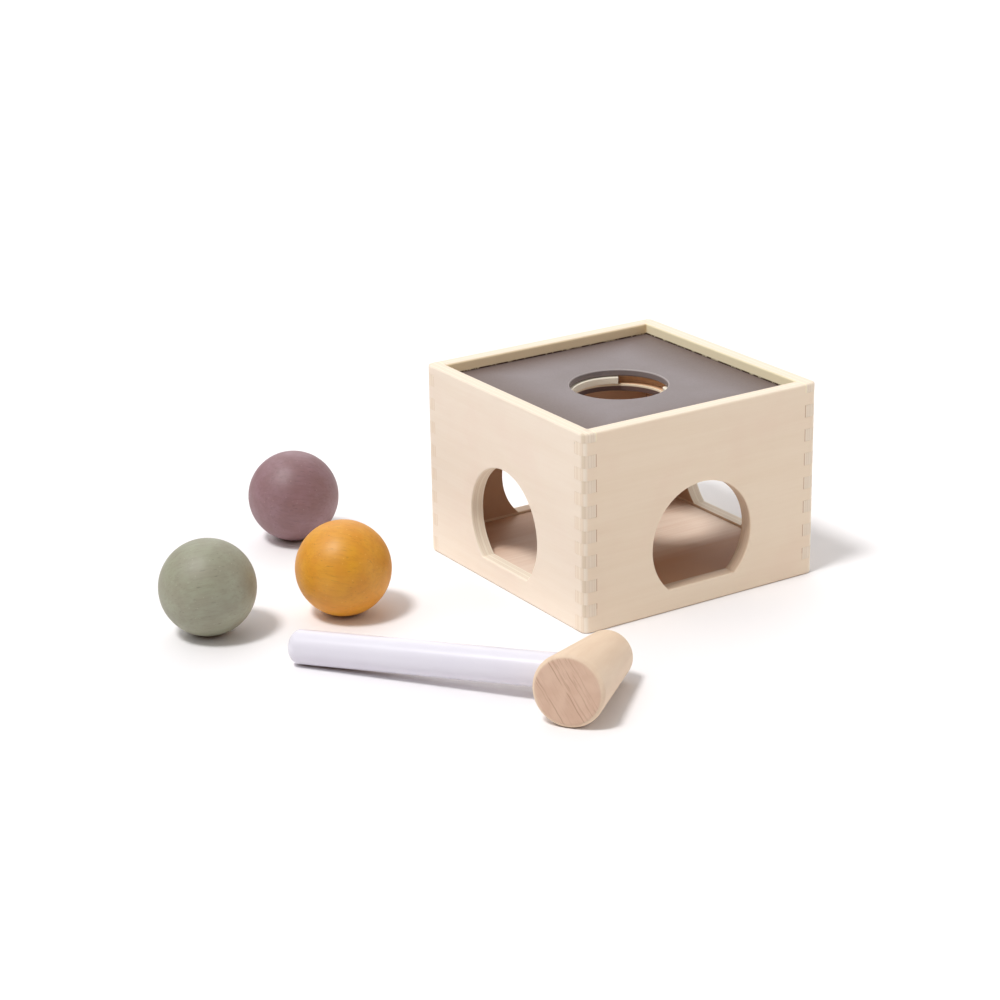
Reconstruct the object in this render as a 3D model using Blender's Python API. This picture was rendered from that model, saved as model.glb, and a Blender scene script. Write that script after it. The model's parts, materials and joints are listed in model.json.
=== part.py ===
"""A ball pounding box: a finger-jointed plywood box, three balls and a mallet, laid out on a table.

Metres, +Z up. The box's front wall faces -Y. The origin is the middle of the set's footprint.
"""

import math

import bmesh
import bpy
from mathutils import Matrix, Vector

# Box walls
BOX_WIDTH = 0.150  # outside, along X
BOX_DEPTH = 0.150  # outside, along Y
BOX_HEIGHT = 0.1077
WALL = 0.008
FINGER = 0.0067  # height of a finger; the two walls at a corner take turns
FOOT_FINGER = 0.0091  # the lowest finger, on the front and back walls
TOP_FINGER_LEAST = 0.0023  # the highest finger takes the height that is left, at least this
CORNER_ROUND = 0.004  # outer upright edges
RIM_ROUND = 0.001  # top and bottom edges of the walls

# Opening in each wall: a circle cut flat at its sill
OPENING_RADIUS = 0.0317
SILL_WIDTH = 0.0425
SILL_Z = 0.0124
OPENING_ROUND = 0.0008

# Panels, held in grooves of the walls
BEHIND_GROOVE = 0.004  # wall left behind a groove
TOP_RECESS = 0.0063  # from the rim down to the top panel
TOP_THICKNESS = 0.004
SILL_STEP = 0.0012  # from a sill down to the floor
FLOOR_RISE = 0.005  # from the table up to the floor panel
FLOOR_TONGUE = 0.003

# Ball hole and the ring that holds a ball in it
BALL_DIAMETER = 0.0505
HOLE_CLEARANCE = 0.0012  # all round the ball
HOLE_ROUND = 0.0009
RING_BITE = 0.0003  # how far the ring stands in the ball's way
RING_WIDTH = 0.0044
RING_TRAVEL = 0.002  # room for the ring to spring open
RING_HEIGHT = 0.0038
RING_GAP_DEG = 69.0
RING_GAP_FACES_DEG = 22.5  # from +X towards +Y
RING_CHAMFER = 0.0005
HOLDER_WALL = 0.010
HOLDER_LIP = 0.0039  # makes the holder as thick as the walls

# Mallet
HEAD_BIG_RADIUS = 0.0185
HEAD_SMALL_RADIUS = 0.0127
HEAD_LENGTH = 0.0615
HEAD_ROUND = 0.0025
HANDLE_RADIUS = 0.0088
HANDLE_REACH = 0.1562  # from the head's axis to the handle's end
HANDLE_AT = 0.0291  # from the head's big face to the handle's axis
HANDLE_PAST_AXIS = 0.004  # how far the handle's other end goes past the head's axis
HANDLE_END_ROUND = 0.005

# Layout on the table, measured from the box's front left corner
BALL_PLACES = {
    "ball_mauve": (-0.0534, 0.2090),
    "ball_mustard": (-0.0851, 0.0970),
    "ball_sage": (-0.1553, 0.1141),
}
MALLET_TAIL = (-0.1353, 0.0527)
MALLET_HEADING_DEG = 36.0  # of the head's axis, from +X towards +Y

# Clearances and mesh fineness
FIT_GAP = 0.0003  # between pieces that touch
CUT_MARGIN = 0.002  # how far a cutter passes the face that it cuts
ROUND_STEPS = 3
ARC_STEPS = 36
BALL_SEGMENTS = 32
TURNED_SEGMENTS = 40

# Worked out from the sizes above
HALF_WIDTH = BOX_WIDTH / 2
HALF_DEPTH = BOX_DEPTH / 2
TOP_Z = BOX_HEIGHT - TOP_RECESS
TOP_UNDERSIDE_Z = TOP_Z - TOP_THICKNESS
FLOOR_Z = SILL_Z - SILL_STEP
BALL_RADIUS = BALL_DIAMETER / 2
HOLE_RADIUS = BALL_RADIUS + HOLE_CLEARANCE
RING_INNER = BALL_RADIUS - RING_BITE
RING_OUTER = RING_INNER + RING_WIDTH
POCKET_RADIUS = RING_OUTER + RING_TRAVEL
HOLDER_TOP_Z = TOP_UNDERSIDE_Z - FIT_GAP
RING_Z = HOLDER_TOP_Z - RING_HEIGHT
LIP_Z = RING_Z - FIT_GAP
HEAD_TAPER = math.atan((HEAD_BIG_RADIUS - HEAD_SMALL_RADIUS) / HEAD_LENGTH)
HANDLE_SEAT_RADIUS = HEAD_BIG_RADIUS - HANDLE_AT * math.tan(HEAD_TAPER)  # of the head, at the handle
FRONT_LEFT = Vector((-HALF_WIDTH, -HALF_DEPTH, 0.0))

BIRCH = (0.78, 0.65, 0.48)
GREY_PAINT = (0.33, 0.29, 0.30)
RING_CREAM = (0.74, 0.63, 0.44)
BEECH = (0.66, 0.46, 0.32)
LILAC_WHITE = (0.76, 0.73, 0.79)
BALL_COLOURS = {
    "ball_mauve": (0.30, 0.20, 0.22),
    "ball_mustard": (0.70, 0.36, 0.07),
    "ball_sage": (0.27, 0.29, 0.20),
}


def clear_scene():
    for obj in list(bpy.data.objects):
        bpy.data.objects.remove(obj, do_unlink=True)


def finish(name, colour, roughness):
    material = bpy.data.materials.new(name)
    material.use_nodes = True
    shader = material.node_tree.nodes["Principled BSDF"]
    shader.inputs["Base Color"].default_value = (*colour, 1.0)
    shader.inputs["Roughness"].default_value = roughness
    shader.inputs["Metallic"].default_value = 0.0
    return material


def new_object(name, shape, parent, place=(0, 0, 0), turn_deg=0.0):
    """An object made from a bmesh, which is freed, placed in its parent's frame."""
    mesh = bpy.data.meshes.new(name)
    bmesh.ops.recalc_face_normals(shape, faces=shape.faces)
    shape.to_mesh(mesh)
    shape.free()
    obj = bpy.data.objects.new(name, mesh)
    bpy.context.scene.collection.objects.link(obj)
    obj.parent = parent
    obj.location = place
    obj.rotation_euler = (0.0, 0.0, math.radians(turn_deg))
    return obj


def new_cutter(name, shape, parent, place=(0, 0, 0), turn_deg=0.0):
    cutter = new_object(name, shape, parent, place, turn_deg)
    cutter.hide_render = True
    cutter.display_type = "WIRE"
    return cutter


def new_empty(name, parent=None, place=(0, 0, 0)):
    empty = bpy.data.objects.new(name, None)
    bpy.context.scene.collection.objects.link(empty)
    empty.parent = parent
    empty.location = place
    return empty


def shade_round(obj, sharp_deg=40.0):
    obj.data.shade_smooth()
    obj.data.set_sharp_from_angle(angle=math.radians(sharp_deg))


def cut(obj, cutter):
    modifier = obj.modifiers.new(cutter.name, "BOOLEAN")
    modifier.operation = "DIFFERENCE"
    modifier.solver = "EXACT"
    modifier.object = cutter


def arc(centre, radius, start_deg, end_deg, steps):
    """Points of a circular arc in a plane, both ends included."""
    points = []
    for step in range(steps + 1):
        angle = math.radians(start_deg + (end_deg - start_deg) * step / steps)
        points.append((centre[0] + radius * math.cos(angle), centre[1] + radius * math.sin(angle)))
    return points


def add_loft(shape, rings, joined=False):
    """Faces between rings of equal length. The ends are capped, or the last ring joins the first."""
    rows = [[shape.verts.new(point) for point in ring] for ring in rings]
    count = len(rows[0])
    spans = list(zip(rows, rows[1:]))
    if joined:
        spans.append((rows[-1], rows[0]))
    for lower, upper in spans:
        for i in range(count):
            j = (i + 1) % count
            shape.faces.new((lower[i], lower[j], upper[j], upper[i]))
    if not joined:
        shape.faces.new(rows[0])
        shape.faces.new(rows[-1])


def add_block(shape, low, high):
    corners = [(low[0], low[1]), (high[0], low[1]), (high[0], high[1]), (low[0], high[1])]
    add_loft(shape, [[(x, y, z) for x, y in corners] for z in (low[2], high[2])])


def block(low, high):
    shape = bmesh.new()
    add_block(shape, low, high)
    return shape


def ring_of(radius, z, segments):
    turns = [2 * math.pi * i / segments for i in range(segments)]
    return [(radius * math.cos(a), radius * math.sin(a), z) for a in turns]


def turned(profile, segments=TURNED_SEGMENTS):
    """A solid turned about Z. The profile is (radius, z) points that end in flat caps."""
    shape = bmesh.new()
    add_loft(shape, [ring_of(radius, z, segments) for radius, z in profile])
    return shape


def turned_ring(section, start_deg=0.0, sweep_deg=360.0, segments=TURNED_SEGMENTS):
    """A closed (radius, z) section swept about Z, all the way round or with two flat ends."""
    whole = sweep_deg >= 360.0
    stations = []
    for i in range(segments if whole else segments + 1):
        a = math.radians(start_deg + sweep_deg * i / segments)
        stations.append([(r * math.cos(a), r * math.sin(a), z) for r, z in section])
    shape = bmesh.new()
    add_loft(shape, stations, joined=whole)
    return shape


def edges_where(shape, test):
    return [edge for edge in shape.edges if all(test(vert.co) for vert in edge.verts)]


def round_edges(shape, test, width):
    bmesh.ops.bevel(
        shape,
        geom=edges_where(shape, test),
        offset=width,
        offset_type="OFFSET",
        segments=ROUND_STEPS,
        profile=0.5,
        affect="EDGES",
        clamp_overlap=True,
    )


def wall_plate(length):
    """A wall before its cuts: along X, outer face at y = 0 facing -Y, foot at z = 0."""
    near = 1e-6
    shape = block((-length / 2, 0.0, 0.0), (length / 2, WALL, BOX_HEIGHT))
    bmesh.ops.recalc_face_normals(shape, faces=shape.faces)
    for side in (-1, 1):
        end = side * length / 2
        round_edges(shape, lambda co, end=end: co.y < near and abs(co.x - end) < near, CORNER_ROUND)
    round_edges(shape, lambda co: co.z > BOX_HEIGHT - near, RIM_ROUND)
    round_edges(shape, lambda co: co.z < near, RIM_ROUND)
    return shape


def opening_outline(grow):
    """The opening's (x, z) outline: an arc over a flat sill, grown evenly on all sides."""
    rise = math.sqrt(OPENING_RADIUS**2 - (SILL_WIDTH / 2) ** 2)
    radius = OPENING_RADIUS + grow
    start = -math.degrees(math.asin((rise + grow) / radius))
    return arc((0.0, SILL_Z + rise), radius, start, 180.0 - start, ARC_STEPS)


def finger_edges():
    """Heights at which one wall's finger ends and its neighbour's begins, foot and rim included."""
    between = int((BOX_HEIGHT - FOOT_FINGER - TOP_FINGER_LEAST) / FINGER)
    return [0.0, *(FOOT_FINGER + i * FINGER for i in range(between + 1)), BOX_HEIGHT]


def wall_cuts(length, first_notch):
    """Cutter for a wall's opening and for the gaps that its neighbours' fingers fill."""
    shape = bmesh.new()
    stations = (
        (-CUT_MARGIN, OPENING_ROUND),
        (0.0, OPENING_ROUND),
        (OPENING_ROUND * 0.3, OPENING_ROUND * 0.3),
        (OPENING_ROUND, 0.0),
        (WALL - OPENING_ROUND, 0.0),
        (WALL - OPENING_ROUND * 0.3, OPENING_ROUND * 0.3),
        (WALL, OPENING_ROUND),
        (WALL + CUT_MARGIN, OPENING_ROUND),
    )
    add_loft(shape, [[(x, y, z) for x, z in opening_outline(grow)] for y, grow in stations])
    inner = length / 2 - WALL - FIT_GAP
    outer = length / 2 + CUT_MARGIN
    edges = finger_edges()
    for index in range(first_notch, len(edges) - 1, 2):
        last = index == len(edges) - 2
        bottom = edges[index] - (CUT_MARGIN if index == 0 else FIT_GAP / 2)
        top = edges[index + 1] + (CUT_MARGIN if last else FIT_GAP / 2)
        for low_x, high_x in ((-outer, -inner), (inner, outer)):
            add_block(shape, (low_x, -CUT_MARGIN, bottom), (high_x, WALL + CUT_MARGIN, top))
    return shape


def square_block(inset, low_z, high_z):
    """A block as wide as the box less an inset on each side."""
    x = HALF_WIDTH - inset
    y = HALF_DEPTH - inset
    return block((-x, -y, low_z), (x, y, high_z))


def build_walls(box):
    birch = finish("birch_plywood", BIRCH, 0.6)
    grooves = (
        new_cutter(
            "top_groove",
            square_block(BEHIND_GROOVE, TOP_UNDERSIDE_Z - FIT_GAP, TOP_Z + FIT_GAP),
            box,
        ),
        new_cutter(
            "floor_groove",
            square_block(BEHIND_GROOVE, FLOOR_RISE - FIT_GAP, FLOOR_RISE + FLOOR_TONGUE + FIT_GAP),
            box,
        ),
    )
    walls = (
        ("front_wall", BOX_WIDTH, 1, (0.0, -HALF_DEPTH, 0.0), 0.0),
        ("right_wall", BOX_DEPTH, 0, (HALF_WIDTH, 0.0, 0.0), 90.0),
        ("back_wall", BOX_WIDTH, 1, (0.0, HALF_DEPTH, 0.0), 180.0),
        ("left_wall", BOX_DEPTH, 0, (-HALF_WIDTH, 0.0, 0.0), 270.0),
    )
    for name, length, first_notch, place, turn_deg in walls:
        wall = new_object(name, wall_plate(length), box, place, turn_deg)
        wall.data.materials.append(birch)
        cut(wall, new_cutter(name + "_cuts", wall_cuts(length, first_notch), box, place, turn_deg))
        for groove in grooves:
            cut(wall, groove)


def build_panels(box):
    tongue_inset = BEHIND_GROOVE + FIT_GAP
    top = new_object("top_panel", square_block(tongue_inset, TOP_UNDERSIDE_Z, TOP_Z), box)
    top.data.materials.append(finish("grey_paint", GREY_PAINT, 0.55))
    rim = arc((HOLE_RADIUS + HOLE_ROUND, TOP_Z - HOLE_ROUND), HOLE_ROUND, 180.0, 90.0, ROUND_STEPS)
    hole = [(HOLE_RADIUS, TOP_UNDERSIDE_Z - CUT_MARGIN), *rim]
    hole.append((HOLE_RADIUS + HOLE_ROUND, TOP_Z + CUT_MARGIN))
    cut(top, new_cutter("ball_hole", turned(hole), box))

    wide_x = HALF_WIDTH - tongue_inset
    wide_y = HALF_DEPTH - tongue_inset
    shoulder = WALL + FIT_GAP
    narrow_x = HALF_WIDTH - shoulder
    narrow_y = HALF_DEPTH - shoulder
    tongue_z = FLOOR_RISE + FLOOR_TONGUE
    steps = (
        (wide_x, wide_y, FLOOR_RISE),
        (wide_x, wide_y, tongue_z),
        (narrow_x, narrow_y, tongue_z),
        (narrow_x, narrow_y, FLOOR_Z),
    )
    shape = bmesh.new()
    add_loft(shape, [[(-x, -y, z), (x, -y, z), (x, y, z), (-x, y, z)] for x, y, z in steps])
    floor = new_object("floor_panel", shape, box)
    floor.data.materials.append(finish("birch_floor", BIRCH, 0.6))


def build_ball_ring(box):
    low_z = LIP_Z - HOLDER_LIP
    outer = POCKET_RADIUS + HOLDER_WALL
    holder_section = (
        (HOLE_RADIUS, low_z),
        (outer, low_z),
        (outer, HOLDER_TOP_Z),
        (POCKET_RADIUS, HOLDER_TOP_Z),
        (POCKET_RADIUS, LIP_Z),
        (HOLE_RADIUS, LIP_Z),
    )
    holder = new_object("ring_holder", turned_ring(holder_section), box)
    holder.data.materials.append(finish("birch_holder", BIRCH, 0.6))
    shade_round(holder)

    top_z = RING_Z + RING_HEIGHT
    ring_section = (
        (RING_INNER + RING_CHAMFER, RING_Z),
        (RING_OUTER, RING_Z),
        (RING_OUTER, top_z),
        (RING_INNER + RING_CHAMFER, top_z),
        (RING_INNER, top_z - RING_CHAMFER),
        (RING_INNER, RING_Z + RING_CHAMFER),
    )
    start_deg = RING_GAP_FACES_DEG + RING_GAP_DEG / 2
    ring = new_object("split_ring", turned_ring(ring_section, start_deg, 360.0 - RING_GAP_DEG), box)
    ring.data.materials.append(finish("ring_cream", RING_CREAM, 0.5))
    shade_round(ring)


def build_balls(set_origin):
    for name, (x, y) in BALL_PLACES.items():
        shape = bmesh.new()
        bmesh.ops.create_uvsphere(
            shape, u_segments=BALL_SEGMENTS, v_segments=BALL_SEGMENTS // 2, radius=BALL_RADIUS
        )
        place = FRONT_LEFT + Vector((x, y, BALL_RADIUS))
        ball = new_object(name, shape, set_origin, place)
        ball.data.materials.append(finish(name + "_stain", BALL_COLOURS[name], 0.5))
        ball.data.shade_smooth()


def mallet_pose():
    """Rest pose: the tapered head lies on its side, rolled until the handle's end meets the table.

    The pose's origin is on the handle's axis where its end begins to round. Its X runs along the
    head's axis towards the small face, and its Y along the handle towards that end.
    """
    heading = math.radians(MALLET_HEADING_DEG)
    forward = Vector((math.cos(heading), math.sin(heading), 0.0))
    level = Vector((-math.sin(heading), math.cos(heading), 0.0))
    along = math.cos(HEAD_TAPER) * forward - math.sin(HEAD_TAPER) * Vector((0.0, 0.0, 1.0))
    axis_z = HANDLE_SEAT_RADIUS * math.cos(HEAD_TAPER)
    drop = (axis_z - HANDLE_RADIUS) / (HANDLE_REACH - HANDLE_END_ROUND)
    roll = -math.asin(drop / math.cos(HEAD_TAPER))
    handle = math.cos(roll) * level + math.sin(roll) * along.cross(level)
    pose = Matrix((along, handle, along.cross(handle))).transposed().to_4x4()
    pose.translation = FRONT_LEFT + Vector((*MALLET_TAIL, HANDLE_RADIUS))
    return pose


def lie_along(axis):
    """Turns a shape made along Z so that it lies along X or Y."""
    if axis == "X":
        return Matrix.Rotation(math.radians(90), 4, "Y")
    return Matrix.Rotation(math.radians(-90), 4, "X")


def head_profile():
    """The head's (radius, z) profile from the big face at z = 0, its two edges rounded."""
    lean_deg = math.degrees(HEAD_TAPER)
    profile = []
    for z, start_deg, end_deg in (
        (HEAD_ROUND, -90.0, lean_deg),
        (HEAD_LENGTH - HEAD_ROUND, lean_deg, 90.0),
    ):
        side = HEAD_BIG_RADIUS - z * math.tan(HEAD_TAPER)
        centre = (side - HEAD_ROUND / math.cos(HEAD_TAPER), z)
        profile += arc(centre, HEAD_ROUND, start_deg, end_deg, ROUND_STEPS)
    return profile


def build_mallet(set_origin):
    mallet = new_empty("mallet", set_origin)
    mallet.matrix_basis = mallet_pose()
    neck = HANDLE_REACH - HANDLE_END_ROUND

    shape = turned(head_profile())
    shape.transform(Matrix.Translation((-HANDLE_AT, -neck, 0.0)) @ lie_along("X"))
    head = new_object("mallet_head", shape, mallet)
    head.data.materials.append(finish("beech", BEECH, 0.55))
    shade_round(head)

    socket_radius = HANDLE_RADIUS + FIT_GAP
    depth = HANDLE_PAST_AXIS + FIT_GAP
    shape = turned([(socket_radius, -depth), (socket_radius, HEAD_BIG_RADIUS + CUT_MARGIN)])
    shape.transform(Matrix.Translation((0.0, -neck, 0.0)) @ lie_along("Y"))
    cut(head, new_cutter("handle_socket", shape, mallet))

    end = arc((HANDLE_RADIUS - HANDLE_END_ROUND, 0.0), HANDLE_END_ROUND, 0.0, 90.0, ROUND_STEPS + 2)
    shape = turned([(HANDLE_RADIUS, -neck - HANDLE_PAST_AXIS), *end])
    shape.transform(lie_along("Y"))
    handle = new_object("mallet_handle", shape, mallet)
    handle.data.materials.append(finish("lilac_white", LILAC_WHITE, 0.3))
    shade_round(handle)


def centre_on_table(set_origin):
    """Moves the whole set so that the middle of its footprint is at the origin."""
    bpy.context.view_layer.update()
    graph = bpy.context.evaluated_depsgraph_get()
    points = []
    for obj in bpy.context.scene.objects:
        if obj.type == "MESH" and not obj.hide_render:
            evaluated = obj.evaluated_get(graph)
            points += [evaluated.matrix_world @ vert.co for vert in evaluated.data.vertices]
    for axis in (0, 1):
        values = [point[axis] for point in points]
        set_origin.location[axis] = -(min(values) + max(values)) / 2


def main():
    clear_scene()
    set_origin = new_empty("set_origin")
    box = new_empty("box", set_origin)
    build_walls(box)
    build_panels(box)
    build_ball_ring(box)
    build_balls(set_origin)
    build_mallet(set_origin)
    centre_on_table(set_origin)


main()
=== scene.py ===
"""The looks of a ball pounding box: a plywood box, three stained balls and a mallet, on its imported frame.

Metres, +Z up, in the frame's own axes. The box's front wall faces -Y.
"""

import json
import math

import bmesh
import bpy
from mathutils import Matrix, Vector


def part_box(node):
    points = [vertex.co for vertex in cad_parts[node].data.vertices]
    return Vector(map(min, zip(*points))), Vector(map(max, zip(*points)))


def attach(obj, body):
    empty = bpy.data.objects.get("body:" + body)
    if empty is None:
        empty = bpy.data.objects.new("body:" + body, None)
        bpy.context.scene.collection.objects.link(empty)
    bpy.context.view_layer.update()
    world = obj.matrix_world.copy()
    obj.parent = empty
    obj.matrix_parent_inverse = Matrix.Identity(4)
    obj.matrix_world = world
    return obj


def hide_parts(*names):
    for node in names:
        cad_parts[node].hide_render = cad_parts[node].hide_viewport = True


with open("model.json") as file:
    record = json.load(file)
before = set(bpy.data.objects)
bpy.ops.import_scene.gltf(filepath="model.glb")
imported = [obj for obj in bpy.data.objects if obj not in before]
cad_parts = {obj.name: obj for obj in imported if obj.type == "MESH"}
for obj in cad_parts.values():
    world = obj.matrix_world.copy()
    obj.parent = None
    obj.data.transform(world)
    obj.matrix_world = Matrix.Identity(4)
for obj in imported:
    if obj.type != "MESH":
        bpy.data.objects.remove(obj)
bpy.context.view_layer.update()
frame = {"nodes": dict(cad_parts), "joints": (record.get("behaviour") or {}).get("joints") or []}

# Box joinery
FINGER = 0.0067  # height of a finger; the two walls at a corner take turns
FOOT_FINGER = 0.0091  # the lowest finger, on the front and back walls
FINGER_COUNT = 16
SEAM = 0.00008  # between two fingers
FRONT_END_SEAM = 0.00004  # where a side wall's finger meets the front or back wall
SIDE_END_SEAM = 0.00002  # where a front or back wall's finger meets a side wall
CORNER_ROUND = 0.004
RIM_ROUND = 0.0012
OPENING_RADIUS = 0.0317
SILL_WIDTH = 0.0425
SILL_Z = 0.0124
OPENING_ROUND = 0.0008
BEHIND_GROOVE = 0.004
GROOVE_PLAY = 0.0002
FLOOR_TONGUE = 0.003
PLIES = 5
BOARD_STEP = 0.31  # sets the four walls apart in their grain

# Ball hole and its split ring
HOLE_RADIUS = 0.02645
HOLE_ROUND = 0.0009
RING_INNER = 0.02495
RING_OUTER = 0.02935
RING_ROUND = 0.0005
RING_GAP_DEG = 69.0
RING_GAP_FACES_DEG = 19.3  # from +X towards +Y
POCKET_RADIUS = 0.03135
HOLDER_LIP = 0.0039
HOLDER_ROUND = 0.0003

# Mallet
HEAD_BIG_RADIUS = 0.0185
HEAD_SMALL_RADIUS = 0.0127
HEAD_LENGTH = 0.0615
HEAD_ROUND = 0.0028
HANDLE_RADIUS = 0.0088
HANDLE_REACH = 0.1562
HANDLE_AT = 0.0291
HANDLE_PAST_AXIS = 0.004
HANDLE_END_ROUND = 0.005
HANDLE_INNER_ROUND = 0.0005
MALLET_HEADING_DEG = 36.0
SOCKET_PLAY = 0.0001
GROWTH_LINES_DEG = 58.5  # across the lines on the head's face, from its X towards its Y
RAY_BAND = (-0.0085, -0.0010)  # where fine rays crowd on the face, from its middle
RAY_BAND_EDGE = 0.001
GROWTH_LINES = (  # on the face: how far from its middle, how wide and how dark
    (0.0006, 0.00044, 0.5),
    (-0.0011, 0.00034, 0.34),
    (-0.0016, 0.00034, 0.3),
    (-0.0050, 0.00032, 0.35),
    (-0.0071, 0.00028, 0.25),
    (-0.0093, 0.00034, 0.3),
    (0.0100, 0.00044, 0.42),
    (0.0113, 0.00030, 0.3),
)

# Balls
BALL_TURNS_DEG = {  # how each one lies, as turns about X, Y and Z; its grain runs along X
    "ball_mauve": (85.0, 10.0, -20.0),
    "ball_mustard": (40.0, -8.0, 140.0),
    "ball_sage": (115.0, 8.0, 155.0),
}
BALL_WAVE = 0.00012  # how much a turned ball's skin swells and dips
BALL_WAVE_SIZE = 0.012

# Finishes
FACE_VENEER = 0.0006  # how deep a wall's fair face goes before its plies show
RAW_SKIN = 0.0005  # how deep the raw skin inside the box goes
GLUE_REACH = 0.00016  # how far a glue line darkens the plies beside it
LID_LINE = (0.0006, 0.0011)  # height above the lid where a dark broken line on the walls starts to fade and ends
LID_SHADE = 0.030  # how far in from the walls painted shade browns the lid
LID_SHADE_SIDES = 0.008  # how much further that is at its left and right
FLOOR_SHADE = (0.018, 0.040)  # from the floor's middle to where painted shade on it starts and is full
FLOOR_SHADE_SHIFT = 0.01
FLOOR_SHADE_WAVER = 0.02

# Mesh fineness
NEAR = 1e-6  # points closer than this are one
CUT_MARGIN = 0.002
ROUND_STEPS = 6
BALL_STEPS = 24
OPENING_STEPS = 72
TURNED_SEGMENTS = 96
SPINDLE_RADIUS = 0.001  # of the circle that a turned profile is swept round

# Camera and light, fitted to the photograph
CAMERA_FROM_CORNER = Vector((-0.686235, -0.994195, 0.517294))  # from the box's front left foot
CAMERA_YAW = 1.001328
CAMERA_PITCH = 0.351604
CAMERA_ROLL = -0.017755
FOCAL_PIXELS = 2568.23
IMAGE_PIXELS = 1000
SENSOR_MM = 36.0
KEY_TRAVEL = Vector((0.418, 0.042, -0.907))
KEY_SPREAD_DEG = 12.0
KEY_LEVEL = 0.576  # share of full white that the key gives a surface facing it
SOFT_LIGHTS = (  # each one's heading from +X towards +Y and its height in degrees, and how bright it is
    (147.0, 60.0, 1.364),
    (192.0, 33.0, 0.363),
    (57.0, 33.0, 1.842),
    (-33.0, 8.0, 1.891),
)
SOFT_LIGHT_POWER = 6.0  # how soon a soft light falls off round its middle
FLOOR_HALF = 6.0
PAPER = (0.930, 0.910, 0.918, 1.0)
CONTACT_REACH = 0.02  # how far round a piece's foot its shadow deepens
CONTACT_OPEN = (0.04, 0.24)  # how open the paper is where that is deepest and where it ends
CONTACT_SHADE = (0.50, 0.35, 0.30)

# The frame's own sizes
front_low, front_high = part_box("front_wall")
left_low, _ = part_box("left_wall")
_, right_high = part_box("right_wall")
_, back_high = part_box("back_wall")
top_low, top_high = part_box("top_panel")
floor_low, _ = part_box("floor_panel")
ring_low, ring_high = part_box("split_ring")
holder_low, holder_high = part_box("ring_holder")
BOX_WIDTH = right_high.x - left_low.x
BOX_HEIGHT = front_high.z
WALL = front_high.y - front_low.y
PLY_DEPTH = WALL / PLIES
BOX_CENTRE = Vector(((left_low.x + right_high.x) / 2, (front_low.y + back_high.y) / 2, 0.0))
FRONT_LEFT_FOOT = Vector((left_low.x, front_low.y, 0.0))
HEAD_TAPER = math.atan((HEAD_BIG_RADIUS - HEAD_SMALL_RADIUS) / HEAD_LENGTH)
NECK = HANDLE_REACH - HANDLE_END_ROUND


def shade(red, green, blue):
    """A linear colour from the usual 0 to 255 values."""
    def linear(value):
        value /= 255
        return value / 12.92 if value <= 0.04045 else ((value + 0.055) / 1.055) ** 2.4
    return (linear(red), linear(green), linear(blue), 1.0)


class Nodes:
    """Short calls for building one node tree."""

    def __init__(self, tree):
        self.tree = tree

    def feed(self, socket, value):
        """Links a socket, or several, to an input, or sets its value."""
        if isinstance(value, (list, bpy.types.NodeSocket)):
            for source in value if isinstance(value, list) else [value]:
                self.tree.links.new(source, socket)
        else:
            socket.default_value = value

    def add(self, kind, inputs=None, **settings):
        node = self.tree.nodes.new(kind)
        for name, value in settings.items():
            setattr(node, name, value)
        for key, value in (inputs or {}).items():
            self.feed(node.inputs[key], value)
        return node

    def math(self, operation, *values):
        return self.add("ShaderNodeMath", dict(enumerate(values)), operation=operation).outputs[0]

    def vector(self, x, y, z):
        return self.add("ShaderNodeCombineXYZ", {"X": x, "Y": y, "Z": z}).outputs[0]

    def split(self, vector):
        return self.add("ShaderNodeSeparateXYZ", {0: vector}).outputs

    def times(self, vector, factor):
        """A vector times another, axis by axis."""
        inputs = {0: vector, 1: factor}
        return self.add("ShaderNodeVectorMath", inputs, operation="MULTIPLY").outputs[0]

    def plus(self, vector, other):
        return self.add("ShaderNodeVectorMath", {0: vector, 1: other}, operation="ADD").outputs[0]

    def out_from_axis(self, parts):
        """How far a point is from Z, by its split place."""
        squares = (self.math("POWER", part, 2.0) for part in parts[:2])
        return self.math("SQRT", self.math("ADD", *squares))

    def noise(self, place, detail=2.0, roughness=0.5):
        inputs = {"Vector": place, "Scale": 1.0, "Detail": detail, "Roughness": roughness}
        return self.add("ShaderNodeTexNoise", inputs).outputs[0]

    def ramp(self, value, low, high, start=0.0, end=1.0):
        """A value eased from start to end as it goes from low to high."""
        inputs = {"Value": value, 1: low, 2: high, 3: start, 4: end}
        return self.add("ShaderNodeMapRange", inputs, interpolation_type="SMOOTHSTEP").outputs[0]

    def mix(self, factor, colour, other, blend="MIX"):
        inputs = {0: factor, 6: colour, 7: other}
        return self.add("ShaderNodeMix", inputs, data_type="RGBA", blend_type=blend).outputs[2]

    def group(self, tree, **values):
        """A shader group, its inputs named with underscores for spaces."""
        inputs = {name.replace("_", " "): value for name, value in values.items()}
        return self.add("ShaderNodeGroup", inputs, node_tree=tree).outputs


def open_tree(name, kind, inputs, outputs):
    """A new node group with named sockets: its nodes, what it is given and what it gives."""
    tree = bpy.data.node_groups.new(name, kind)
    for label, socket in outputs.items():
        tree.interface.new_socket(label, in_out="OUTPUT", socket_type="NodeSocket" + socket)
    for label, socket in inputs.items():
        tree.interface.new_socket(label, in_out="INPUT", socket_type="NodeSocket" + socket)
    nodes = Nodes(tree)
    return nodes, nodes.add("NodeGroupInput").outputs, nodes.add("NodeGroupOutput").inputs


# Shader groups, each used by several finishes


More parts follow.
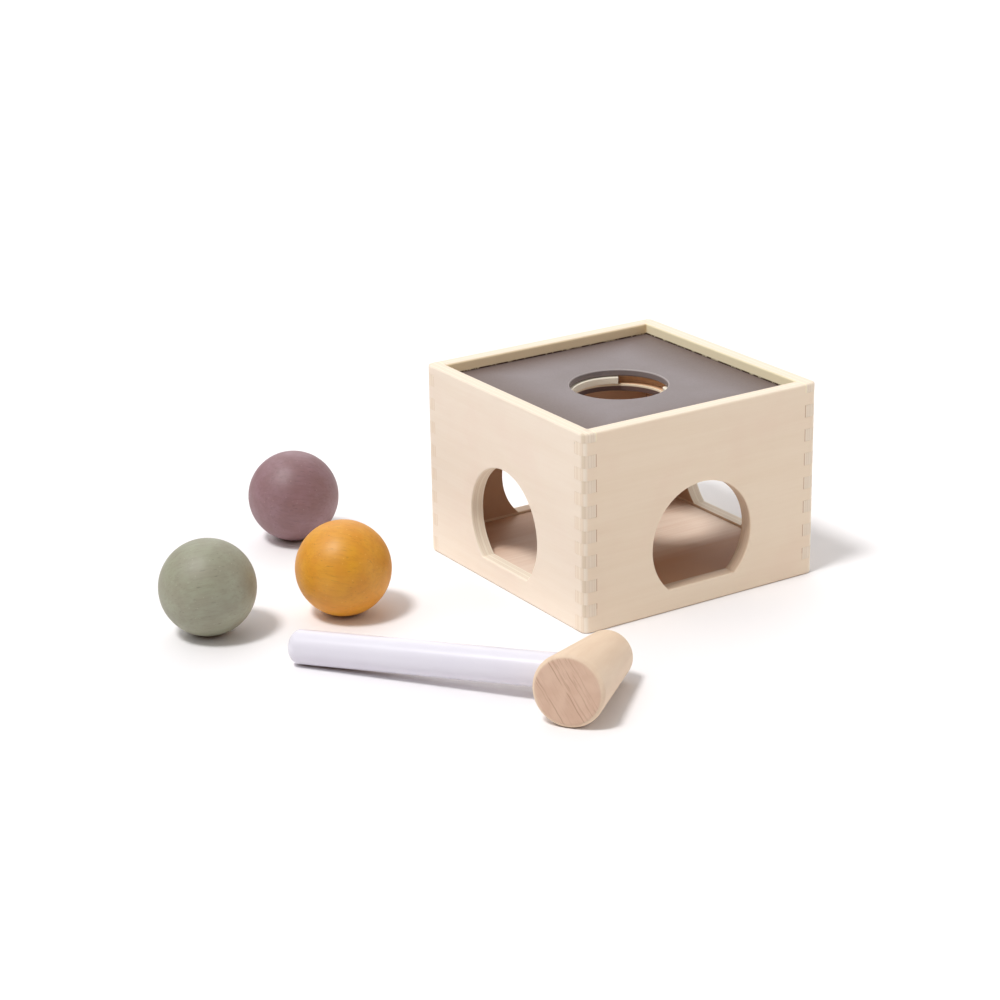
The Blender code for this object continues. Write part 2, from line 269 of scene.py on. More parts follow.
def fibre_group():
    """Wood fibres that run along X: broad streaks, fine fibres and short dark pores."""
    inputs = {"Place": "Vector", "Length": "Float", "Width": "Float"}
    outputs = {"Streak": "Float", "Fibre": "Float", "Pore": "Float"}
    nodes, given, result = open_tree("wood_fibre", "ShaderNodeTree", inputs, outputs)
    along = nodes.math("DIVIDE", 1.0, given["Length"])
    across = nodes.math("DIVIDE", 1.0, given["Width"])
    place = nodes.times(given["Place"], nodes.vector(along, across, across))
    nodes.feed(result["Streak"], nodes.noise(nodes.times(place, (0.5, 0.22, 0.22))))
    nodes.feed(result["Fibre"], nodes.noise(place, detail=4.0, roughness=0.62))
    specks = nodes.noise(nodes.times(place, (2.6, 2.2, 2.2)), detail=1.0)
    nodes.feed(result["Pore"], nodes.ramp(specks, 0.66, 0.76))
    return nodes.tree


def ply_group():
    """Plywood layers by depth: which plies run crosswise, and the glue lines between them."""
    inputs = {"Depth": "Float", "Ply": "Float", "Glue": "Float"}
    outputs = {"Cross": "Float", "Line": "Float"}
    nodes, given, result = open_tree("ply_layers", "ShaderNodeTree", inputs, outputs)
    count = nodes.math("DIVIDE", given["Depth"], given["Ply"])
    ply = nodes.math("MINIMUM", nodes.math("FLOOR", count), PLIES - 1.0)
    nodes.feed(result["Cross"], nodes.math("PINGPONG", ply, 1.0))
    nearest = nodes.math("MINIMUM", nodes.math("ROUND", count), PLIES - 1.0)
    joint = nodes.math("MAXIMUM", nearest, 1.0)
    away = nodes.math("ABSOLUTE", nodes.math("SUBTRACT", count, joint))
    away = nodes.math("MULTIPLY", away, given["Ply"])
    share = nodes.math("DIVIDE", away, given["Glue"])
    nodes.feed(result["Line"], nodes.ramp(share, 0.4, 1.0, 1.0, 0.0))
    return nodes.tree


def mottle_group():
    """The cloudiness of a stained or painted skin: blotches, small flecks and a fine texture."""
    inputs = {"Place": "Vector", "Blotch Size": "Float", "Fleck Size": "Float"}
    outputs = {"Blotch": "Float", "Fleck": "Float", "Skin": "Float"}
    nodes, given, result = open_tree("mottling", "ShaderNodeTree", inputs, outputs)

    def sized(size):
        share = nodes.math("DIVIDE", 1.0, size)
        return nodes.times(given["Place"], nodes.vector(share, share, share))

    nodes.feed(result["Blotch"], nodes.noise(sized(given["Blotch Size"]), detail=3.0, roughness=0.55))
    small = sized(given["Fleck Size"])
    cells = nodes.add("ShaderNodeTexVoronoi", {"Vector": small, "Scale": 1.0})
    spot = nodes.ramp(cells.outputs["Distance"], 0.10, 0.22, 1.0, 0.0)
    some = nodes.ramp(nodes.split(cells.outputs["Color"])[0], 0.72, 0.80)
    nodes.feed(result["Fleck"], nodes.math("MULTIPLY", spot, some))
    nodes.feed(result["Skin"], nodes.noise(nodes.times(small, (2.5, 2.5, 2.5)), detail=3.0, roughness=0.6))
    return nodes.tree


FIBRE = fibre_group()
PLY = ply_group()
MOTTLE = mottle_group()


def finish_of(name, roughness, specular=0.5):
    """A new finish: its material, nodes and shader."""
    material = bpy.data.materials.new(name)
    material.use_nodes = True
    shader = material.node_tree.nodes["Principled BSDF"]
    shader.inputs["Roughness"].default_value = roughness
    shader.inputs["Specular IOR Level"].default_value = specular
    return material, Nodes(material.node_tree), shader


def raise_skin(nodes, shader, height, depth):
    """A bump from a height of 0 to 1 that stands for a real depth in metres."""
    bump = nodes.add("ShaderNodeBump", {"Height": height, "Strength": 1.0, "Distance": depth})
    nodes.feed(shader.inputs["Normal"], bump.outputs[0])


def kept_place(nodes, name):
    return nodes.add("ShaderNodeAttribute", attribute_name=name).outputs["Vector"]


def birch_plywood(name, veneer_tint, opening_core, lit_rim, finger_tone, raw_line):
    """A wall's birch through its depth: a fair veneer, the plies' cut edges and a raw skin inside, browner
    partly as painted shade.

    Its tones are the veneer's, the opening's plies', the raw skin's above the lid, lit there as painted
    light, and the fingers' ends'.
    raw_line is how much of the raw skin shows as a line at a finger's end.
    """
    material, nodes, shader = finish_of(name, roughness=0.55, specular=0.2)
    place = kept_place(nodes, "wall_place")
    parts = nodes.split(place)
    depth = parts[1]
    layers = nodes.group(PLY, Depth=depth, Ply=PLY_DEPTH, Glue=GLUE_REACH)
    veneer = nodes.group(FIBRE, Place=place, Length=0.045, Width=0.0016)
    crosswise = nodes.vector(parts[2], parts[1], parts[0])
    edge = nodes.group(FIBRE, Place=crosswise, Length=0.020, Width=0.0007)
    clouds = nodes.group(MOTTLE, Place=place, Blotch_Size=0.035, Fleck_Size=0.006)
    along = nodes.math("MODULO", nodes.math("ADD", parts[0], BOARD_STEP / 2), BOARD_STEP)
    off_middle = nodes.math("ABSOLUTE", nodes.math("SUBTRACT", along, BOARD_STEP / 2))
    to_end = nodes.math("SUBTRACT", BOX_WIDTH / 2, off_middle)

    face = nodes.mix(nodes.ramp(veneer["Streak"], 0.35, 0.7), shade(246, 232, 215), shade(244, 229, 211))
    face = nodes.mix(nodes.ramp(clouds["Blotch"], 0.45, 0.72, 0.0, 0.5), face, shade(243, 224, 208))
    face = nodes.mix(nodes.ramp(veneer["Fibre"], 0.35, 0.7, 0.0, 0.10), face, shade(234, 214, 193))
    face = nodes.mix(nodes.math("MULTIPLY", veneer["Pore"], 0.05), face, shade(214, 188, 162))
    face = nodes.mix(1.0, face, shade(*veneer_tint), "MULTIPLY")
    above_lid = nodes.math("SUBTRACT", parts[2], top_high.z)
    below_lid = nodes.ramp(above_lid, -0.010, -0.005, 1.0, 0.0)
    in_opening = nodes.math("MULTIPLY", below_lid, nodes.ramp(to_end, CORNER_ROUND, WALL))
    inner = nodes.mix(edge["Fibre"], shade(247, 232, 213), shade(241, 224, 203))
    inner = nodes.mix(nodes.math("MULTIPLY", in_opening, 0.85), inner, shade(*opening_core))
    inner = nodes.mix(nodes.math("MULTIPLY", layers["Cross"], 0.3), inner, shade(230, 209, 185))
    inner = nodes.mix(nodes.math("MULTIPLY", layers["Line"], 0.28), inner, shade(196, 166, 138))
    finger_end = nodes.ramp(to_end, 0.6 * CORNER_ROUND, CORNER_ROUND, 1.0, 0.0)
    end_grain = nodes.math("MULTIPLY", finger_end, nodes.math("SUBTRACT", 1.0, layers["Cross"]))
    outer_ply = nodes.ramp(depth, 0.9 * PLY_DEPTH, 1.1 * PLY_DEPTH, 0.75, 0.12)
    inner = nodes.mix(nodes.math("MULTIPLY", end_grain, outer_ply), inner, shade(*finger_tone))
    wood = nodes.mix(nodes.ramp(depth, 0.0001, FACE_VENEER), face, inner)
    above_sill = nodes.ramp(parts[2], SILL_Z, SILL_Z + 0.0005)
    # The raw skin inside: lighter below the sill and browner above it, that brown partly painted shade of the
    # box's inside.
    raw = nodes.mix(above_sill, shade(228, 200, 172), shade(202, 163, 132))
    # Above the lid the raw skin takes a lighter tone: painted light.
    rim = nodes.ramp(above_lid, -0.0005, 0.0)
    raw = nodes.mix(rim, raw, shade(*lit_rim))
    # A dark broken line on the walls just above the lid, where they meet it.
    broken = nodes.ramp(clouds["Skin"], 0.36, 0.5, 0.4, 1.0)
    lid_line = nodes.math("MULTIPLY", nodes.ramp(above_lid, *LID_LINE, 1.0, 0.0), broken)
    raw = nodes.mix(nodes.math("MULTIPLY", lid_line, rim), raw, shade(72, 48, 30))
    raw_skin = nodes.ramp(depth, WALL - RAW_SKIN, WALL - 0.6 * RAW_SKIN)
    shown = nodes.ramp(finger_end, 0.0, 1.0, 1.0, raw_line)
    wood = nodes.mix(nodes.math("MULTIPLY", raw_skin, shown), wood, raw)
    nodes.feed(shader.inputs["Base Color"], wood)
    nodes.feed(shader.inputs["Roughness"], nodes.ramp(veneer["Fibre"], 0.3, 0.7, 0.50, 0.62))
    raise_skin(nodes, shader, nodes.math("SUBTRACT", veneer["Fibre"], veneer["Pore"]), depth=0.00003)
    return material


def holder_plywood():
    """The ring holder's raw plywood, on the hole's wall light at its lip and dark below it."""
    material, nodes, shader = finish_of("birch_holder", roughness=0.55, specular=0.2)
    place = kept_place(nodes, "turned_place")
    parts = nodes.split(place)
    height = nodes.math("SUBTRACT", parts[2], holder_low.z)
    layers = nodes.group(PLY, Depth=height, Ply=PLY_DEPTH, Glue=GLUE_REACH)
    grain = nodes.group(FIBRE, Place=place, Length=0.030, Width=0.0012)
    wood = nodes.mix(grain["Fibre"], shade(250, 206, 164), shade(240, 192, 148))
    wood = nodes.mix(nodes.math("MULTIPLY", layers["Line"], 0.3), wood, shade(170, 124, 88))
    out = nodes.out_from_axis(parts)
    # On the hole's wall: a light band at the lip's top, and dark below it.
    at_hole = nodes.ramp(out, HOLE_RADIUS + 0.0004, HOLE_RADIUS + 0.0008, 1.0, 0.0)
    lip = nodes.ramp(height, HOLDER_LIP - 0.0013, HOLDER_LIP - 0.0009)
    wood = nodes.mix(at_hole, wood, nodes.mix(lip, shade(106, 84, 78), shade(250, 232, 204)))
    nodes.feed(shader.inputs["Base Color"], wood)
    raise_skin(nodes, shader, grain["Fibre"], depth=0.00004)
    return material


def grey_paint():
    """The lid's matte paint: painted shade, browner, towards the walls, a painted highlight at the hole's
    edge, and left off underneath.
    """
    material, nodes, shader = finish_of("grey_paint", roughness=0.5, specular=0.25)
    place = nodes.add("ShaderNodeTexCoord").outputs["Object"]
    skin = nodes.group(MOTTLE, Place=place, Blotch_Size=0.03, Fleck_Size=0.0016)
    paint = nodes.mix(nodes.ramp(skin["Blotch"], 0.35, 0.7), shade(137, 126, 126), shade(132, 121, 120))
    paint = nodes.mix(nodes.math("MULTIPLY", skin["Fleck"], 0.15), paint, shade(160, 151, 150))
    parts = nodes.split(nodes.plus(place, -BOX_CENTRE))
    sideways, endways = (nodes.math("ABSOLUTE", way) for way in parts[:2])
    # Painted shade, browner, where the lid meets the walls.
    reach = nodes.math("MAXIMUM", nodes.math("ADD", sideways, LID_SHADE_SIDES), endways)
    inside = BOX_WIDTH / 2 - WALL
    paint = nodes.mix(nodes.ramp(reach, inside - LID_SHADE, inside, 0.0, 0.75), paint, shade(108, 91, 84))
    out = nodes.out_from_axis(parts)
    # A painted highlight on the hole's rounded upper edge.
    edge_highlight = nodes.ramp(out, HOLE_RADIUS + 0.0003, HOLE_RADIUS + 0.0009, 0.5, 0.0)
    upper = nodes.ramp(parts[2], top_high.z - 0.0009, top_high.z - 0.0005)
    paint = nodes.mix(nodes.math("MULTIPLY", edge_highlight, upper), paint, shade(205, 196, 194))
    under = nodes.ramp(parts[2], top_low.z, top_low.z + 0.0003, 1.0, 0.0)
    paint = nodes.mix(under, paint, shade(126, 94, 72))
    nodes.feed(shader.inputs["Base Color"], paint)
    nodes.feed(shader.inputs["Roughness"], nodes.ramp(skin["Skin"], 0.3, 0.7, 0.46, 0.56))
    raise_skin(nodes, shader, skin["Skin"], depth=0.00004)
    return material


def ring_cream():
    """The split ring's smooth cream, faintly cloudy."""
    material, nodes, shader = finish_of("ring_cream", roughness=0.45)
    place = kept_place(nodes, "turned_place")
    skin = nodes.group(MOTTLE, Place=place, Blotch_Size=0.008, Fleck_Size=0.0012)
    cream = nodes.mix(skin["Blotch"], shade(255, 247, 230), shade(249, 237, 215))
    nodes.feed(shader.inputs["Base Color"], cream)
    raise_skin(nodes, shader, skin["Skin"], depth=0.00003)
    return material


def ball_stain(name, pale, deep, fleck):
    """A stained ball: the wood's fibres show faintly through a cloudy satin skin."""
    material, nodes, shader = finish_of(name, roughness=0.5, specular=0.6)
    place = kept_place(nodes, "turned_place")
    skin = nodes.group(MOTTLE, Place=place, Blotch_Size=0.011, Fleck_Size=0.0021)
    wood = nodes.group(FIBRE, Place=place, Length=0.016, Width=0.0015)
    stain = nodes.mix(nodes.ramp(skin["Blotch"], 0.32, 0.68), shade(*pale), shade(*deep))
    fibre, pore = (shade(*(share * value for value in deep)) for share in (0.94, 0.72))
    stain = nodes.mix(nodes.ramp(wood["Fibre"], 0.4, 0.75, 0.0, 0.65), stain, fibre)
    stain = nodes.mix(nodes.math("MULTIPLY", skin["Fleck"], 0.5), stain, shade(*fleck))
    stain = nodes.mix(nodes.math("MULTIPLY", wood["Pore"], 0.45), stain, pore)
    nodes.feed(shader.inputs["Base Color"], stain)
    nodes.feed(shader.inputs["Roughness"], nodes.ramp(skin["Blotch"], 0.3, 0.7, 0.46, 0.55))
    height = nodes.math("MULTIPLY_ADD", wood["Pore"], -0.6, skin["Skin"])
    raise_skin(nodes, shader, height, depth=0.00003)
    return material


def beech():
    """Beech along the mallet's head: a smooth side, and growth lines straight across its end grain."""
    material, nodes, shader = finish_of("beech", roughness=0.5, specular=0.25)
    to_lines = (0.0, 0.0, math.radians(-GROWTH_LINES_DEG))
    place = kept_place(nodes, "turned_place")
    turned = nodes.add("ShaderNodeMapping", {"Vector": place, "Rotation": to_lines}).outputs[0]
    parts = nodes.split(turned)
    lengthwise = nodes.vector(parts[2], parts[0], parts[1])
    wood = nodes.group(FIBRE, Place=lengthwise, Length=0.040, Width=0.0016)
    waver = nodes.noise(nodes.times(turned, (90.0, 130.0, 0.0)), detail=1.0)
    across = nodes.math("MULTIPLY_ADD", nodes.math("SUBTRACT", waver, 0.5), 0.0012, parts[0])
    patches = nodes.noise(nodes.times(turned, (420.0, 75.0, 0.0)), detail=1.0)
    fade = nodes.ramp(patches, 0.34, 0.56)
    rays = nodes.noise(nodes.times(turned, (1300.0, 110.0, 0.0)))
    low, high = RAY_BAND
    rayed = nodes.math(
        "MULTIPLY",
        nodes.ramp(across, low, low + RAY_BAND_EDGE),
        nodes.ramp(across, high - RAY_BAND_EDGE, high, 1.0, 0.0),
    )
    lines = nodes.math("MULTIPLY", nodes.ramp(rays, 0.5, 0.68), nodes.ramp(rayed, 0.0, 1.0, 0.12, 0.38))
    for middle, width, darkness in GROWTH_LINES:
        away = nodes.math("ABSOLUTE", nodes.math("SUBTRACT", across, middle))
        lines = nodes.math("MAXIMUM", lines, nodes.ramp(away, 0.3 * width, width, darkness, 0.0))
    ends = nodes.math("ABSOLUTE", nodes.math("SUBTRACT", parts[2], HEAD_LENGTH / 2))
    end_grain = nodes.ramp(ends, HEAD_LENGTH / 2 - 0.0005, HEAD_LENGTH / 2 - 0.00001)
    lines = nodes.math("MULTIPLY", nodes.math("MULTIPLY", lines, fade), end_grain)
    side = nodes.mix(nodes.ramp(wood["Streak"], 0.3, 0.7), shade(233, 209, 183), shade(227, 201, 175))
    side = nodes.mix(nodes.ramp(wood["Fibre"], 0.4, 0.75, 0.0, 0.12), side, shade(206, 166, 134))
    end = nodes.mix(nodes.ramp(wood["Streak"], 0.3, 0.7), shade(217, 185, 162), shade(210, 176, 153))
    colour = nodes.mix(end_grain, side, end)
    colour = nodes.mix(lines, colour, shade(154, 113, 90))
    nodes.feed(shader.inputs["Base Color"], colour)
    height = nodes.math("MULTIPLY_ADD", wood["Fibre"], 0.25, nodes.math("MULTIPLY", lines, -0.4))
    raise_skin(nodes, shader, height, depth=0.00008)
    return material


def lilac_paint():
    """The handle's smooth lilac-white paint."""
    material, nodes, shader = finish_of("lilac_white", roughness=0.25)
    place = kept_place(nodes, "turned_place")
    skin = nodes.group(MOTTLE, Place=place, Blotch_Size=0.02, Fleck_Size=0.002)
    paint = nodes.mix(skin["Blotch"], shade(231, 228, 236), shade(225, 220, 231))
    nodes.feed(shader.inputs["Base Color"], paint)
    raise_skin(nodes, shader, skin["Skin"], depth=0.00003)
    return material


# Geometry trees


def dressed(nodes, geometry, finish):
    """The end of every tree: real geometry, in its finish."""
    real = nodes.add("GeometryNodeRealizeInstances", {"Geometry": geometry}).outputs[0]
    return nodes.add("GeometryNodeSetMaterial", {"Geometry": real, "Material": finish}).outputs[0]


def joinery_tree():
    """Cuts a wall plate: its neighbours' fingers, the panels' grooves and the round opening."""
    sizes = ("Length", "Thickness", "Finger", "Foot Finger", "First Notch", "Seam", "End Seam")
    inputs = {"Plate": "Geometry", **{size: "Float" for size in sizes}, "Notches": "Int"}
    inputs |= {"Opening Radius": "Float", "Sill Width": "Float", "Sill Height": "Float"}
    inputs |= {"Behind Groove": "Float", "Top Groove": "Vector", "Floor Groove": "Vector"}
    inputs |= {"Finish": "Material"}
    nodes, given, result = open_tree("finger_joinery", "GeometryNodeTree", inputs, {"Wall": "Geometry"})
    half = nodes.math("MULTIPLY", given["Length"], 0.5)
    through = nodes.math("ADD", given["Thickness"], 2 * CUT_MARGIN)

    number = nodes.add("GeometryNodeInputIndex").outputs[0]
    finger = nodes.math("MULTIPLY_ADD", number, 2.0, given["First Notch"])
    top = nodes.math("MULTIPLY_ADD", finger, given["Finger"], given["Foot Finger"])
    at_foot = nodes.math("MULTIPLY", nodes.math("LESS_THAN", finger, 0.5), given["Foot Finger"])
    bottom = nodes.math("SUBTRACT", nodes.math("SUBTRACT", top, given["Finger"]), at_foot)
    middle = nodes.math("MULTIPLY", nodes.math("ADD", top, bottom), 0.5)
    height = nodes.math("ADD", nodes.math("SUBTRACT", top, bottom), given["Seam"])
    width = nodes.math("ADD", nodes.math("ADD", given["Thickness"], given["End Seam"]), CUT_MARGIN)
    points = nodes.add("GeometryNodeMeshLine", {"Count": given["Notches"]}).outputs[0]
    depth = nodes.math("MULTIPLY", given["Thickness"], 0.5)
    points = nodes.add(
        "GeometryNodeSetPosition", {"Geometry": points, "Position": nodes.vector(0.0, depth, middle)}
    ).outputs[0]
    notch = nodes.add("GeometryNodeMeshCube").outputs["Mesh"]
    column = nodes.add(
        "GeometryNodeInstanceOnPoints",
        {"Points": points, "Instance": notch, "Scale": nodes.vector(width, through, height)},
    ).outputs[0]
    column = nodes.add("GeometryNodeRealizeInstances", {"Geometry": column}).outputs[0]
    reach = nodes.math("SUBTRACT", nodes.math("ADD", half, CUT_MARGIN), nodes.math("MULTIPLY", width, 0.5))

    def moved(geometry, place, **more):
        inputs = {"Geometry": geometry, "Translation": place, **more}
        return nodes.add("GeometryNodeTransform", inputs).outputs[0]

    back = nodes.math("MULTIPLY", reach, -1.0)
    cutters = [moved(column, nodes.vector(x, 0.0, 0.0)) for x in (reach, back)]
    groove_length = nodes.math("MULTIPLY_ADD", given["Behind Groove"], -2.0, given["Length"])
    far = nodes.math("ADD", given["Thickness"], CUT_MARGIN)
    groove_depth = nodes.math("SUBTRACT", far, given["Behind Groove"])
    groove_y = nodes.math("MULTIPLY_ADD", groove_depth, 0.5, given["Behind Groove"])
    for name in ("Top Groove", "Floor Groove"):
        low, high = nodes.split(given[name])[:2]
        size = nodes.vector(groove_length, groove_depth, nodes.math("SUBTRACT", high, low))
        block = nodes.add("GeometryNodeMeshCube", {"Size": size}).outputs["Mesh"]
        mid = nodes.math("MULTIPLY", nodes.math("ADD", low, high), 0.5)
        cutters.append(moved(block, nodes.vector(0.0, groove_y, mid)))
    cut = {"Mesh 1": given["Plate"], "Mesh 2": cutters}
    wall = nodes.add("GeometryNodeMeshBoolean", cut, operation="DIFFERENCE", solver="EXACT").outputs[0]

    radius = given["Opening Radius"]
    chord = nodes.math("MULTIPLY", given["Sill Width"], 0.5)
    squares = (nodes.math("POWER", side, 2.0) for side in (radius, chord))
    rise = nodes.math("SQRT", nodes.math("SUBTRACT", *squares))
    tilt = nodes.math("ARCSINE", nodes.math("DIVIDE", rise, radius))
    sweep = nodes.math("MULTIPLY_ADD", tilt, 2.0, math.pi)
    arc = nodes.add(
        "GeometryNodeCurveArc",
        {
            "Resolution": OPENING_STEPS,
            "Radius": radius,
            "Start Angle": nodes.math("MULTIPLY", tilt, -1.0),
            "Sweep Angle": sweep,
        },
        mode="RADIUS",
    ).outputs[0]
    arc = nodes.add("GeometryNodeSetSplineCyclic", {"Geometry": arc, "Cyclic": True}).outputs[0]
    disc = nodes.add("GeometryNodeFillCurve", {"Curve": arc}).outputs[0]
    sides = nodes.add("GeometryNodeExtrudeMesh", {"Mesh": disc, "Offset Scale": through, "Individual": False})
    under = nodes.add("GeometryNodeFlipFaces", {"Mesh": disc}).outputs[0]
    plug = nodes.add("GeometryNodeJoinGeometry", {"Geometry": [sides.outputs[0], under]}).outputs[0]
    plug = nodes.add("GeometryNodeMergeByDistance", {"Geometry": plug, "Distance": NEAR}).outputs[0]
    upright = nodes.vector(0.0, far, nodes.math("ADD", given["Sill Height"], rise))
    plug = moved(plug, upright, Rotation=(math.pi / 2, 0.0, 0.0))
    bored = nodes.add(
        "GeometryNodeMeshBoolean", {"Mesh 1": wall, "Mesh 2": plug}, operation="DIFFERENCE", solver="EXACT"
    )
    rounded = nodes.add(
        "GeometryNodeStoreNamedAttribute",
        {
            "Geometry": bored.outputs[0],
            "Name": "bevel_weight_edge",
            "Value": bored.outputs["Intersecting Edges"],
        },
        data_type="FLOAT",
        domain="EDGE",
    ).outputs[0]
    nodes.feed(result["Wall"], dressed(nodes, rounded, given["Finish"]))
    return nodes.tree


def turning_tree():
    """Turns a profile about Z. The profile lies in XY as (radius, height), its corners rounded by "round"."""
    inputs = {"Profile": "Geometry", "Segments": "Int", "Start": "Float", "Sweep": "Float"}
    inputs |= {"Closed": "Bool", "Round Steps": "Int", "Waviness": "Float", "Wave Size": "Float"}
    inputs |= {"Finish": "Material"}
    nodes, given, result = open_tree("turning", "GeometryNodeTree", inputs, {"Turned": "Geometry"})
    profile = nodes.add("GeometryNodeMeshToCurve", {"Mesh": given["Profile"]}).outputs[0]
    profile = nodes.add(
        "GeometryNodeSetSplineCyclic", {"Geometry": profile, "Cyclic": given["Closed"]}
    ).outputs[0]
    radius = nodes.add("GeometryNodeInputNamedAttribute", {"Name": "round"}, data_type="FLOAT").outputs[0]
    profile = nodes.add(
        "GeometryNodeFilletCurve",
        {"Curve": profile, "Radius": radius, "Limit Radius": True, "Count": given["Round Steps"]},
        mode="POLY",
    ).outputs[0]
    profile = nodes.add(
        "GeometryNodeTransform",
        {"Geometry": profile, "Translation": (-SPINDLE_RADIUS, 0.0, 0.0), "Scale": (1.0, -1.0, 1.0)},
    ).outputs[0]
    whole = nodes.add(
        "GeometryNodeCurvePrimitiveCircle",
        {"Resolution": given["Segments"], "Radius": SPINDLE_RADIUS},
        mode="RADIUS",
    ).outputs[0]
    part = nodes.add(
        "GeometryNodeCurveArc",
        {
            "Resolution": given["Segments"],
            "Radius": SPINDLE_RADIUS,
            "Start Angle": given["Start"],
            "Sweep Angle": given["Sweep"],
        },
        mode="RADIUS",
    ).outputs[0]
    is_part = nodes.math("LESS_THAN", given["Sweep"], 2 * math.pi - 1e-4)
    path = nodes.add(
        "GeometryNodeSwitch", {"Switch": is_part, "False": whole, "True": part}, input_type="GEOMETRY"
    ).outputs[0]
    path = nodes.add("GeometryNodeSetCurveNormal", {"Curve": path}, mode="Z_UP").outputs[0]
    skin = nodes.add(
        "GeometryNodeCurveToMesh", {"Curve": path, "Profile Curve": profile, "Fill Caps": True}
    ).outputs[0]
    skin = nodes.add("GeometryNodeMergeByDistance", {"Geometry": skin, "Distance": NEAR}).outputs[0]
    place = nodes.add("GeometryNodeInputPosition").outputs[0]
    share = nodes.math("DIVIDE", 1.0, given["Wave Size"])
    swell = nodes.noise(nodes.times(place, nodes.vector(share, share, share)), detail=1.0)
    swell = nodes.math("MULTIPLY", nodes.math("SUBTRACT", swell, 0.5), given["Waviness"])
    out = nodes.times(nodes.add("GeometryNodeInputNormal").outputs[0], nodes.vector(swell, swell, swell))
    skin = nodes.add("GeometryNodeSetPosition", {"Geometry": skin, "Offset": out}).outputs[0]
    skin = nodes.add(
        "GeometryNodeStoreNamedAttribute",
        {"Geometry": skin, "Name": "turned_place", "Value": place},
        data_type="FLOAT_VECTOR",
        domain="POINT",
    ).outputs[0]
    nodes.feed(result["Turned"], dressed(nodes, skin, given["Finish"]))
    return nodes.tree


JOINERY = joinery_tree()
TURNING = turning_tree()


# Making a piece


def piece_of(name, mesh):
    piece = bpy.data.objects.new(name, mesh)
    bpy.context.scene.collection.objects.link(piece)
    return piece


def run_tree(piece, tree, **values):
    """Adds a geometry tree to a piece, its inputs named with underscores for spaces."""
    modifier = piece.modifiers.new(tree.name, "NODES")
    modifier.node_group = tree
    for item in tree.interface.items_tree:
        key = item.name.replace(" ", "_")
        if item.in_out == "INPUT" and key in values:
            modifier[item.identifier] = values[key]


def settle(piece):
    """Keeps what a piece's modifiers make as its plain mesh."""
    graph = bpy.context.evaluated_depsgraph_get()
    mesh = bpy.data.meshes.new_from_object(piece.evaluated_get(graph))
    piece.modifiers.clear()
    piece.data = mesh


def close_up(piece, place):
    """Puts a piece's mesh in its place, its doubles merged and its faces pointing out."""
    shape = bmesh.new()
    shape.from_mesh(piece.data)
    bmesh.ops.remove_doubles(shape, verts=shape.verts, dist=NEAR)
    shape.transform(place)
    bmesh.ops.recalc_face_normals(shape, faces=shape.faces)
    if shape.calc_volume(signed=True) < 0.0:
        bmesh.ops.reverse_faces(shape, faces=shape.faces)
    shape.to_mesh(piece.data)
    shape.free()


def smooth(piece, sharp_deg=35.0):
    """Smooth rounds between flat faces that stay flat."""
    piece.data.shade_smooth()
    piece.data.set_sharp_from_angle(angle=math.radians(sharp_deg))
    level = piece.modifiers.new("flat_faces", "WEIGHTED_NORMAL")
    level.keep_sharp = True
    level.weight = 100
    settle(piece)


def join_set(piece, body, node):
    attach(piece, body)
    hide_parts(node)


def add_loft(shape, rings, joined=False):
    """Faces between rings of equal length. The ends are capped, or the last ring joins the first."""
    rows = [[shape.verts.new(point) for point in ring] for ring in rings]
    count = len(rows[0])
    spans = list(zip(rows, rows[1:]))
    if joined:
        spans.append((rows[-1], rows[0]))
    for lower, upper in spans:
        for i in range(count):
            j = (i + 1) % count
            shape.faces.new((lower[i], lower[j], upper[j], upper[i]))
    if not joined:
        shape.faces.new(rows[0])
        shape.faces.new(rows[-1])


def mesh_from(shape, name):
    """A mesh made from a bmesh, which is freed."""
    bmesh.ops.recalc_face_normals(shape, faces=shape.faces)
    mesh = bpy.data.meshes.new(name)
    shape.to_mesh(mesh)
    shape.free()
    return mesh


def turn(name, profile, finish, place, closed=False, **more):
    """A turned piece from (radius, height, corner round) points, put in its place."""
    mesh = bpy.data.meshes.new(name)
    count = len(profile)
    edges = [(i, i + 1) for i in range(count - 1)] + ([(count - 1, 0)] if closed else [])
    mesh.from_pydata([(radius, height, 0.0) for radius, height, _ in profile], edges, [])
    rounds = mesh.attributes.new("round", "FLOAT", "POINT")
    rounds.data.foreach_set("value", [corner for _, _, corner in profile])
    piece = piece_of(name, mesh)
    values = {"Segments": TURNED_SEGMENTS, "Start": 0.0, "Sweep": 2 * math.pi, "Closed": closed}
    values |= {"Round_Steps": ROUND_STEPS, "Waviness": 0.0, "Wave_Size": 0.02, "Finish": finish}
    run_tree(piece, TURNING, **(values | more))
    settle(piece)
    close_up(piece, place)
    smooth(piece)
    return piece


# Box


